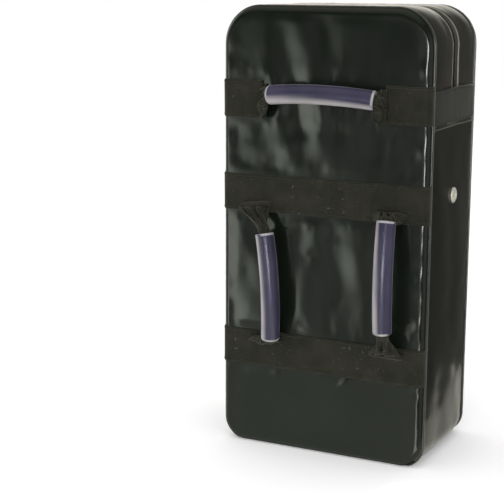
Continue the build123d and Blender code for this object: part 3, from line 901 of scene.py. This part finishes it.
def strap(name, used, lifted=lambda x, up: 0.0):
    """Webbing sewn across the back, with soft selvedges. lifted gives how far it stands off."""
    low, high = STRAPS[name]
    points, normals, run = SECTION[used, None], SECTION_NORMALS[used, None], SECTION_RUN[used, None]
    middle, half = (low[2] + high[2]) / 2, (high[2] - low[2]) / 2

    def standing(up, stand):
        """Points of the strap at heights over its middle, standing off the panel."""
        edge = 0.5 * STRAP_EDGE(run, middle + np.sign(up) * 60)
        off = points + normals * (STRAP_GAP + stand + lifted(points[..., 0], up))[..., None]
        return points_of(off[..., 0], off[..., 1], middle + up + edge * np.abs(up) / half)

    inward, thick = np.array(SELVEDGE).T
    flat = np.linspace(4 - half, half - 4, 9)
    up = np.concatenate([inward - half, flat, (half - inward)[::-1], [half - 0.4, 0.4 - half]])
    top = np.concatenate([thick, np.full(9, STRAP_THICK), thick[::-1], [0.1, 0.1]])
    wave = np.maximum(0.25 * STRAP_WAVES(run, 0.7 * up + middle), -0.1)
    sections = standing(up, top + wave * (top > 0.5))
    tube(name + "_webbing", sections, WEBBING, "strap_webbing", name, uv=points_of(run, up))
    rows = []
    for inner in (STITCH_IN - half, half - STITCH_IN):
        lift = 2.0 + 0.25 * np.maximum(STRAP_WAVES(run, 0.7 * inner + middle), -0.4)
        rows.append((standing(inner, lift)[:, 0], points_of(normals[:, 0, 0], normals[:, 0, 1], 0.0)))
    stitch_rows(name, rows, DARK_THREAD, STRAP_STITCH)


def lower_lift(x, up):
    """The lower strap's bottom edge stands off near the right seam."""
    return 1.3 * step(-6, -25, up) * step(60, 120, -x) * step(0, 12, HALF + x)


WHOLE_SECTION = np.full(len(SECTION), True)
strap("lower_strap", WHOLE_SECTION, lower_lift)
strap("middle_strap", WHOLE_SECTION)
strap("upper_strap_left", SECTION[:, 0] > GATHER_X)
strap("upper_strap_right", SECTION[:, 0] < -GATHER_X)


def side_band():
    """Smooth vinyl band over the zip at the right side, arched across the wall and hemmed."""
    low, high = node_box("side_band")
    across = np.linspace(0.4 - SEAM_Y, SEAM_Y - 0.4, 60)
    share = across / SEAM_Y
    base = HALF + 0.8 + 6.7 * (1 - share**2) ** 0.85 + 0.2 * STRIP_WAVES(across, 3.0)
    top = high[2] + 1.2 - 2.6 * np.abs(share) ** 3 + 0.5 * STRIP_WAVES(across, 90.0)
    bottom = low[2] + 0.3 + 0.4 * STRIP_WAVES(across, 200.0)
    rise, proud = np.array(BAND_PROFILE).T
    free = (rise > 0.05) & (rise < 0.95) & (proud > -1)
    sag = 0.35 * STRIP_WAVES(across[:, None], 300 + 40 * rise) * free
    height = bottom[:, None] + (top - bottom)[:, None] * rise
    sections = points_of(-(base[:, None] + proud + sag), across[:, None], height)
    tube("side_band_vinyl", sections, VINYL, "side_band_vinyl", "side_band")
    rows = []
    for share_up in (0.06, 0.94):
        path = points_of(-(base + 0.45), across, bottom + (top - bottom) * share_up)
        rows.append((path, np.tile([-1.0, 0, 0], (len(across), 1))))
    stitch_rows("side_band", rows, DARK_THREAD, BAND_STITCH)


side_band()


# ---- zip and eyelets ----

COIL_PITCH = 1.7
COIL_STEPS = 8  # points a turn
COIL_WIRE = 0.33
COIL_OFF_MIDDLE = 1.5
COIL_HALF_WIDTH = 0.75
COIL_HALF_HEIGHT = 0.95
BORE = 4.4


def coil(name, side, node_name):
    """The nylon coil of the zip as a real helix."""
    low, high = node_box(node_name)
    start = LEFT_SEAM_RUN + low[2] - CROSS_SEAM_Z
    turns = int((WHOLE_RUN - 2 * start) / COIL_PITCH)
    phase = np.arange(turns * COIL_STEPS) / COIL_STEPS
    swing = 2 * np.pi * phase
    place, normal = around(start + phase * COIL_PITCH)
    proud = high[0] - HALF - 1.2 + COIL_HALF_HEIGHT * np.sin(swing)
    centre = place + normal * proud[:, None]
    centre[:, 1] = side * COIL_OFF_MIDDLE + COIL_HALF_WIDTH * np.cos(swing)
    ahead = unit(np.gradient(centre, axis=0))
    first = unit(np.cross(ahead, normal))
    sections = rings(centre, first, np.cross(ahead, first), COIL_WIRE, 5)
    tube(name, sections, COIL, "zip_coil_plastic", node_name)


def eyelet(name, node_name):
    """A domed vent eyelet, turned round its own axis."""
    low, high = node_box(node_name)
    side = 1 if high[0] > 0 else -1
    middle, radius = (low[2] + high[2]) / 2, (high[2] - low[2]) / 2
    face = HALF + wall_relief(np.array([LEFT_SEAM_RUN + middle - CROSS_SEAM_Z]), np.array([0.0]))[0] * 0.9
    dome = [(0.0, -0.6), (0.0, 0.4), (0.5, 1.1), (1.6, 1.8), (3.0, 2.25), (4.2, 2.2)]
    barrel = [(5.3, 1.6), (4.6, 0.7), (BORE, -0.5), (BORE, -5.5), (5.2, -5.5), (5.2, -0.7)]
    profile = np.array([(radius - inward, proud) for inward, proud in dome] + barrel)
    turn = full_turn(48)
    size = profile[:, :1] * (1 + 0.01 * np.sin(2 * turn + 0.6))
    proud = side * (face + profile[:, 1:])
    sections = points_of(proud, size * np.cos(turn), middle + size * np.sin(turn))
    tube(name, sections, NICKEL, "eyelet_metal", node_name, closed=True)


coil("coil_front", -1, "zip_coil_front")
coil("coil_rear", 1, "zip_coil_rear")
for where in ("left", "right"):
    eyelet("vent_eyelet_" + where, "eyelet_" + where)

KEPT_NODES = {
    "zip_tape_front": TAPE,
    "zip_tape_rear": TAPE,
    "zip_end_stop": ZIP_METAL,
    "zip_park_stop": ZIP_METAL,
    "zip_slider": ZIP_METAL,
    "zip_pull": ZIP_METAL,
    "eyelet_washer_left": NICKEL,
    "eyelet_washer_right": NICKEL,
}
for kept, finish in KEPT_NODES.items():
    frame["nodes"][kept].data.materials.clear()
    frame["nodes"][kept].data.materials.append(finish)


# ---- handles ----

JOINTS = {joint["name"]: joint for joint in frame["joints"]}
PLIES = smooth_noise(51, 10, 6, 22)
BOW_REACH = 26.0  # how much farther out than its joint the middle of a bow stands
HOSE_LENGTH = 146.0
HOSE_OUTER = 12.5
HOSE_INNER = 10.0
HOSE_CUT_DEPTH = 0.7
# In from the hose's cut end, and its radius there.
HOSE_END = [(0.1, HOSE_INNER + 0.5), (0.0, HOSE_OUTER - 0.75), (0.25, HOSE_OUTER - 0.25), (0.8, HOSE_OUTER)]
WEBBING_WIDTH = 50.0
WEBBING_THICK = 1.5
CORE_LINE = 33
ROOT_LIFT = 1.6
TILT_SHARE = 0.45  # how much a root's width already turns with its handle
FLARE_WIDTH = 46.0
FLARE_END_WIDTH = 15.0
FLARE_LINE = 49
FLARE_KNEE = 0.45  # share of the flare's length in its gather piece, next to the strap
FLARE_PULL = 0.35
LIP_WIDTH = 44.0
# Away from the root, and up, along the webbing's fold.
LIP_PROFILE = [
    (0.0, 1.6), (0.5, 2.6), (1.8, 3.0), (3.4, 2.6), (4.8, 1.2),
    (5.8, -0.8), (6.3, -2.8), (5.9, -4.1), (4.4, -4.7), (1.0, -4.75),
]


class Handle:
    """The geometry of one grip: its chord, its bow, and how far its hose has slid."""

    def __init__(self, name):
        self.name = name
        swing, slide = JOINTS[name + "_handle_swing"], JOINTS[name + "_hose_slide"]
        self.middle = np.array(swing["pos_m"]) / MM
        self.hub = np.array(slide["pos_m"]) / MM
        self.chord = np.array(swing["axis"], float)
        stand = self.middle - self.hub
        self.bow = unit(stand)
        self.across = np.cross(self.bow, self.chord)
        self.radius = np.linalg.norm(stand) + BOW_REACH
        self.travel = math.radians(slide["range_deg"][1] - slide["range_deg"][0]) / 2 * self.radius
        self.slid = -math.radians(sum(slide["range_deg"])) / 2 * self.radius
        self.leg = HOSE_LENGTH / 2 + self.travel + 1.0

    def point(self, along):
        """Centre of the bow, its outward direction and its tangent, at a distance along it."""
        angle = np.asarray(along)[..., None] / self.radius
        radial = np.cos(angle) * self.bow + np.sin(angle) * self.chord
        tangent = -np.sin(angle) * self.bow + np.cos(angle) * self.chord
        return self.hub + self.radius * radial, radial, tangent


def ribbon(line):
    """Closed loops of webbing round 2-D lines, section x point x 2."""
    ahead = np.gradient(line, axis=1)
    ahead /= np.maximum(np.linalg.norm(ahead, axis=2, keepdims=True), 1e-9)
    aside = points_of(-ahead[..., 1], ahead[..., 0]) * WEBBING_THICK / 2
    return np.concatenate([line + aside, (line - aside)[:, ::-1]], axis=1)


def ribbon_uv(count, along):
    """Across and along the webbing, for loops round lines of count points."""
    width = np.linspace(-WEBBING_WIDTH / 2, WEBBING_WIDTH / 2, count)
    return points_of(np.concatenate([width, width[::-1]]), along[:, None])


def grip_hose(handle):
    """The clear hose: its wall, its cut ends and a slight oval from its bend."""
    half = HOSE_LENGTH / 2
    inward, end_radius = np.array(HOSE_END).T
    outside = np.linspace(3 - half, half - 3, 60)
    inside = np.linspace(half - 0.6, 0.6 - half, 40)
    along = np.concatenate([inward - half, outside, (half - inward)[::-1], inside])
    rho = [end_radius, np.full(60, HOSE_OUTER), end_radius[::-1], np.full(40, HOSE_INNER)]
    centre, radial, _ = handle.point(handle.slid + along)
    turn = full_turn(36)
    along = along[:, None]
    flatter = 1 - 0.03 * np.cos(2 * turn) * np.cos(np.pi * along / HOSE_LENGTH)
    size = np.concatenate(rho)[:, None] * (1 + 0.006 * PLIES(along * 0.5, 6 * np.cos(turn)))
    shape = points_of(size * np.cos(turn) * (2 - flatter), size * np.sin(turn) * flatter)
    name = handle.name + "_hose"
    item = tube(
        name, placed(centre, handle.across, radial, shape), HOSE, "clear_hose", handle.name + "_grip_hose",
        body=name, closed=True, uv=points_of(HOSE_OUTER * turn, along),
    )
    # The faces at the cut ends take the pale HOSE_CUT colour, a painted highlight on the rims.
    item.data.materials.append(HOSE_CUT)
    for face in item.data.polygons:
        reach = (np.array(face.center) / MM - handle.hub) @ handle.chord
        bent = math.asin(reach / handle.radius) * handle.radius - handle.slid
        face.material_index = int(abs(bent) > half - HOSE_CUT_DEPTH)


def core_line(count):
    """The rolled webbing seen end on: a C that laps over itself."""
    angle = np.linspace(-2.75, 2.75, count)
    size = 7.6 - 1.2 * np.abs(angle / 2.75) ** 3
    return points_of(size * np.sin(angle), size * np.cos(angle))


def webbing_core(handle):
    """The webbing rolled up inside the hose."""
    reach = HOSE_LENGTH / 2 - handle.travel
    along = np.linspace(-reach, reach, 60)
    centre, radial, _ = handle.point(along)
    plies = PLIES(along[:, None] * 0.6, np.arange(CORE_LINE) * 0.8)
    line = core_line(CORE_LINE) * 0.8 * (1 + 0.03 * plies)[..., None]
    name, loop = handle.name + "_rolled_webbing", handle.name + "_loop"
    sections = placed(centre, handle.across, radial, ribbon(line))
    uv = ribbon_uv(CORE_LINE, along)
    tube(name, sections, WEBBING, "strap_webbing", handle.name + "_webbing_loop", body=loop, uv=uv)


def gathered(handle, end):
    """Where a flare starts on the strap, how its width lies there, and how it lies flat."""
    start = handle.middle + end * handle.leg * handle.chord + ROOT_LIFT * BACKWARDS
    flat = np.cross(BACKWARDS, handle.chord)
    width = unit(flat * (1 - TILT_SHARE) + handle.across * TILT_SHARE)
    return start, width, flat * np.sign(flat @ width)


def swept(centre, width, turned, turn):
    """Directions of a webbing's sections along a line, its width turning from one way to another."""
    first = unit(width * (1 - turn) + turned * turn)
    return first, unit(np.cross(np.gradient(centre, axis=0), first))


def pleats(share, width, height, phase):
    """A pleated line across: sharper folds to one side, as webbing bunches."""
    bent = share + 0.06 * np.sin(2.2 * share + phase)
    wave = np.cos(3.0 * np.pi * bent + phase) * height
    lean = 0.12 * width * np.sin(3.0 * np.pi * bent + phase + 1.2) * (1 - share**2)
    return points_of(share * width / 2 + lean, wave)


def flare(handle, end, phase):
    """Webbing bunched in pleats from its flat root up into the end of the hose."""
    start, width, _ = gathered(handle, end)
    mouth = handle.slid + end * (HOSE_LENGTH / 2 + 0.5)
    goal, radial, tangent = handle.point(mouth)
    span = np.linalg.norm(goal - start)
    leave = BACKWARDS * 0.75 - end * handle.chord * 0.25
    pull_a, pull_b = start + leave * FLARE_PULL * span, goal + end * tangent * FLARE_PULL * span
    share = np.linspace(0, 1, 26)
    s = share[:, None]
    centre = (1 - s) ** 3 * start + 3 * (1 - s) ** 2 * s * pull_a
    centre += 3 * (1 - s) * s**2 * pull_b + s**3 * goal
    tail, _, _ = handle.point(mouth - end * np.linspace(3, 2 * handle.travel + 4, 12))
    centre = np.concatenate([centre, tail])
    share = np.concatenate([share, np.ones(len(tail))])
    s = share[:, None]
    first, second = swept(centre, width, handle.across, step(0.0, 0.8, s))
    second *= np.sign(second @ radial)[:, None]
    u = np.linspace(-1, 1, FLARE_LINE)
    narrow = FLARE_WIDTH - (FLARE_WIDTH - FLARE_END_WIDTH) * step(-0.15, 0.95, s)
    rise = 1.2 + 5.0 * step(0, 0.35, s)
    roll = step(0.45, 1.0, s)[..., None]
    line = pleats(u, narrow, rise, phase) * (1 - roll) + core_line(FLARE_LINE) * roll
    line += 0.25 * points_of(PLIES(u * 20, s * 25), PLIES(s * 25, u * 20)) * (1 - s)[..., None]
    sections = placed(centre, first, second, ribbon(line))
    uv = ribbon_uv(FLARE_LINE, share * span)
    where = "near" if end < 0 else "far"
    knee = int(np.searchsorted(share, FLARE_KNEE))
    loop, hose = handle.name + "_loop", handle.name + "_hose"
    parts = [
        ("gather", slice(0, knee + 1), "shield", loop, start, centre[knee]),
        ("flare", slice(knee, None), loop, hose, centre[knee], goal),
    ]
    for kind, rows, still, moving, low, high in parts:
        name = f"{handle.name}_{kind}_{where}"
        item = tube(name, sections[rows], WEBBING, "strap_webbing", body=None, uv=uv[rows])
        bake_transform(item)


def lip(handle, end, phase):
    """The webbing's fold at a root: over a hump and back under itself on to the strap."""
    _, width, flat = gathered(handle, end)
    profile = np.array(LIP_PROFILE)
    run = run_along(profile)
    fine = np.linspace(0, run[-1], 22)
    away, rise = [np.interp(fine, run, profile[:, k])[:, None] for k in (0, 1)]
    share = (fine / run[-1])[:, None]
    centre = handle.middle + end * (handle.leg + away) * handle.chord + rise * BACKWARDS
    first, second = swept(centre, width, flat, step(0, 0.35, share))
    u = np.linspace(-1, 1, FLARE_LINE)
    spread = FLARE_WIDTH + (LIP_WIDTH - FLARE_WIDTH) * step(0, 0.5, share)
    line = pleats(u, spread, 0.7 * (1 - 0.75 * step(0, 0.7, share)), phase)
    line[..., 1] += 0.3 * PLIES(u * 22, fine[:, None] * 1.3) * step(0.0, 0.3, share) * step(1, 0.75, share)
    corner = np.concatenate([u, u[::-1]])
    drawn = (0.8 * PLIES(corner * 16, 3.0 + phase) - 2.6 * np.abs(corner) ** 4) * share
    sections = placed(centre, first, second, ribbon(line)) + end * drawn[..., None] * handle.chord
    name = f"{handle.name}_fold_{'near' if end < 0 else 'far'}"
    uv = ribbon_uv(FLARE_LINE, fine)
    tube(name, sections, WEBBING, "strap_webbing", handle.name + "_webbing_roots", uv=uv)


for number, grip_name in enumerate(("upper", "left", "right")):
    grip = Handle(grip_name)
    grip_hose(grip)
    webbing_core(grip)
    for end in (-1, 1):
        phase = 0.9 + 1.7 * number + 0.8 * end
        flare(grip, end, phase)
        lip(grip, end, phase)


# ---- foam filling ----

# In from a layer's own face, and how far its edge stays inside the cover.
FOAM_EDGE = [(0.0, 12.0), (0.6, 8.6), (3.0, 7.0)]


def foam_layer(name, node_name, finish, slot_name):
    """A cut foam slab inside the cover, slightly uneven."""
    low, high = node_box(node_name)
    run = np.linspace(0, WHOLE_RUN, 260)
    place, normal = around(np.linspace(0, WHOLE_RUN, 260, endpoint=False))
    inward, sunk = np.array(FOAM_EDGE).T
    flat = np.linspace(low[1] + 8, high[1] - 8, 8)
    y = np.concatenate([low[1] + inward, flat, (high[1] - inward)[::-1]])[:, None]
    sunk = np.concatenate([sunk, np.full(8, sunk[-1]), sunk[::-1]])[:, None]
    sections = place - normal * (sunk + 0.4 * STRIP_WAVES(y, run))[..., None]
    sections[..., 1] = y
    item = tube(name, sections, finish, slot_name, node_name)


foam_layer("filling_front", "foam_front_layer", FIRM_FOAM, "firm_foam")
foam_layer("filling_core", "foam_core", SOFT_FOAM, "soft_foam")
foam_layer("filling_back", "foam_back_layer", FIRM_FOAM, "firm_foam")


# ---- printed marks ----

INK_PROUD = 0.12
CHEVRON_BAR = 17.0
CHEVRON_RISE = 24.0


def printed_patch(corners, across, up):
    """A patch of ink on the striking face between four corners, given anticlockwise."""
    s, t = np.meshgrid(np.linspace(0, 1, across), np.linspace(0, 1, up), indexing="ij")
    s, t = s[..., None], t[..., None]
    a, b, c, d = [np.array(corner, float) for corner in corners]
    flat = a * (1 - s) * (1 - t) + b * s * (1 - t) + c * s * t + d * (1 - s) * t
    x, z = flat[..., 0], flat[..., 1]
    depth = -(panel_depth(x, z) + front_relief(x, z) + INK_PROUD)
    return points_of(x, depth, z).reshape(-1, 3), lattice(across, up), np.zeros((across * up, 2))


def printed(name, patches, finish, slot_name, node_name):
    finish_piece(combine(name, patches), finish, "shield", slot_name, node_name)


def chevrons(name, node_name, finish, slot_name):
    """Two stacked chevrons of ink."""
    low, high = node_box(node_name)
    middle, half = (low[0] + high[0]) / 2, (high[0] - low[0]) / 2
    bar, rise = CHEVRON_BAR, CHEVRON_RISE
    patches = []
    for base in (low[2], high[2] - rise - bar):
        for side in (-1, 1):
            edge = middle + side * half
            corners = [(edge, base), (middle, base + rise), (middle, base + rise + bar), (edge, base + bar)]
            patches.append(printed_patch(corners, 14, 9))
    printed(name, patches, finish, slot_name, node_name)


LOW_MARK, HIGH_MARK = node_box("print_orange_chevrons")
ORANGE = ink("orange_ink", (0.62, 0.2, 0.05), (0.3, 0.075, 0.02), LOW_MARK[2], HIGH_MARK[2])
RED = ink("red_ink", (0.3, 0.022, 0.03), (0.22, 0.014, 0.02), LOW_MARK[2], HIGH_MARK[2])
chevrons("print_mark_orange", "print_orange_chevrons", ORANGE, "orange_ink")
chevrons("print_mark_red", "print_red_chevrons", RED, "red_ink")
(left_x, _, low_z), (right_x, _, high_z) = node_box("print_red_rule")
rule = printed_patch([(left_x, low_z), (right_x, low_z), (right_x, high_z), (left_x, high_z)], 60, 3)
printed("print_rule", [rule], RED, "red_ink", "print_red_rule")


# ---- stage ----

NEUTRAL = (1.0, 0.99, 0.99)
CREAM = (1.0, 0.97, 0.86)
PALE_GREEN = (0.93, 1.0, 0.88)
BROWN = (1.0, 0.9, 0.72)
WHITE = (1.0, 1.0, 1.0)
FLOOR_SIZE = 4000.0
# Parts of the floor near the object that show in the leather: low and high x, low and high y, height,
# strength and colour.
NEAR_FLOOR = {
    "floor_by_back": (-225.0, 480.0, 90.0, 530.0, 0.5, 0.66, PALE_GREEN),
    "floor_by_right": (-235.0, -140.0, -400.0, 90.0, 0.5, 0.62, CREAM),
    "floor_by_left": (140.0, 480.0, -310.0, 90.0, 0.5, 0.6, CREAM),
    "floor_glint": (-190.0, -125.0, 130.0, 520.0, 1.0, 4.0, CREAM),
}
# Direction, full and fading angle in degrees, strength and colour of each soft area in the reflected room.
LOBES = [
    ((0.629, 0.749, -0.22), 3, 17, 3.4, PALE_GREEN),
    ((0.1, 0.2, 1.0), 20, 60, 0.4, CREAM),
    ((-0.375, 0.927, -0.03), 5, 11, 22.0, NEUTRAL),
    ((-0.02, 0.974, -0.22), 4, 26, 0.8, NEUTRAL),
    ((0.45, -0.89, 0.15), 12, 34, 0.9, CREAM),
    ((-0.5, -0.86, -0.1), 15, 50, 0.04, BROWN),
    ((-1.0, 0.12, 0.0), 12, 42, 0.5, NEUTRAL),
    ((1.0, -0.15, 0.0), 12, 42, 0.7, NEUTRAL),
]
ROOM_LEVEL = 0.05
CAMERA_PLACE = (-0.6969, 1.6823, 0.6348)
CAMERA_TURN = (78.439, -0.241, -153.264)
CAMERA_LENS = 95.33


def floor_patch(name, low_x, high_x, low_y, high_y, height, finish):
    corners = points_of([low_x, high_x, high_x, low_x], [low_y, low_y, high_y, high_y], height)
    item = add_object(name, corners, [[0, 1, 2, 3]])
    item.data.materials.append(finish)
    return item


def floor():
    """A pale floor, and the part of it near the object that shows in the leather."""
    pale = Look("floor_white", Roughness=0.9, Specular_IOR_Level=0.1, Base_Color=(0.93, 0.93, 0.93))
    pale.shade(Emission_Color=WHITE, Emission_Strength=0.16)
    size = FLOOR_SIZE
    floor_patch("floor", -size, size, -size, size, 0, pale.made).visible_glossy = False
    for name, (*corners, strength, colour) in NEAR_FLOOR.items():
        near = floor_patch(name, *corners, glow(name, colour, strength))
        for kind in ("camera", "diffuse", "shadow", "transmission"):
            setattr(near, "visible_" + kind, False)


def soft_light(name, at, towards, width, height, power):
    """A rectangular softbox facing a point, unseen in reflections."""
    data = bpy.data.lights.new(name, "AREA")
    data.shape = "RECTANGLE"
    data.size, data.size_y = width, height
    data.energy = power
    lamp = bpy.data.objects.new(name, data)
    bpy.context.scene.collection.objects.link(lamp)
    lamp.location = at
    lamp.rotation_euler = (Vector(towards) - Vector(at)).to_track_quat("-Z", "Y").to_euler()
    lamp.visible_glossy = False


def surroundings():
    """White all round for the eye, and a darker room with soft bright areas for reflections."""
    room = Look("studio", "worlds")
    bpy.context.scene.world = room.made
    room.tree.nodes.clear()
    place = room.node("TexCoord", {}, "Generated")
    total = room.node("CombineXYZ", dict.fromkeys("XYZ", ROOM_LEVEL))
    for direction, inner, outer, strength, colour in LOBES:
        towards = tuple(unit(np.array(direction)))
        dot = room.node("VectorMath", {0: place, 1: towards}, "Value", operation="DOT_PRODUCT")
        nearness = [math.cos(math.radians(angle)) for angle in (outer, inner)]
        values = {"Value": dot, "From Min": nearness[0], "From Max": nearness[1], "To Max": strength}
        fade = room.node("MapRange", values, "Result", interpolation_type="SMOOTHSTEP")
        tinted = room.node("VectorMath", {0: colour, "Scale": fade}, "Vector", operation="SCALE")
        total = room.node("VectorMath", {0: total, 1: tinted}, "Vector", operation="ADD")
    seen = room.node("Background", {"Color": total})
    white = room.node("Background", {"Color": WHITE, "Strength": 1.0})
    glossy = room.node("LightPath", {}, "Is Glossy Ray")
    room.node("OutputWorld", {"Surface": room.node("MixShader", {0: glossy, 1: white, 2: seen})})


floor()
surroundings()
soft_light("key", (-0.9, 3.2, 1.5), (0, 0, 0.4), 1.0, 1.6, 14)
soft_light("overhead", (0.3, 0.6, 3.0), (0, 0, 0.3), 2.0, 2.0, 8)

camera_data = bpy.data.cameras.new("camera")
camera_data.sensor_width = 36.0
camera_data.lens = CAMERA_LENS
camera_data.clip_end = 50.0
camera = bpy.data.objects.new("camera", camera_data)
bpy.context.scene.collection.objects.link(camera)
camera.rotation_mode = "XYZ"
camera.location = CAMERA_PLACE
camera.rotation_euler = [math.radians(a) for a in CAMERA_TURN]

scene = bpy.context.scene
scene.camera = camera
scene.view_settings.view_transform = "Standard"
scene.view_settings.look = "None"
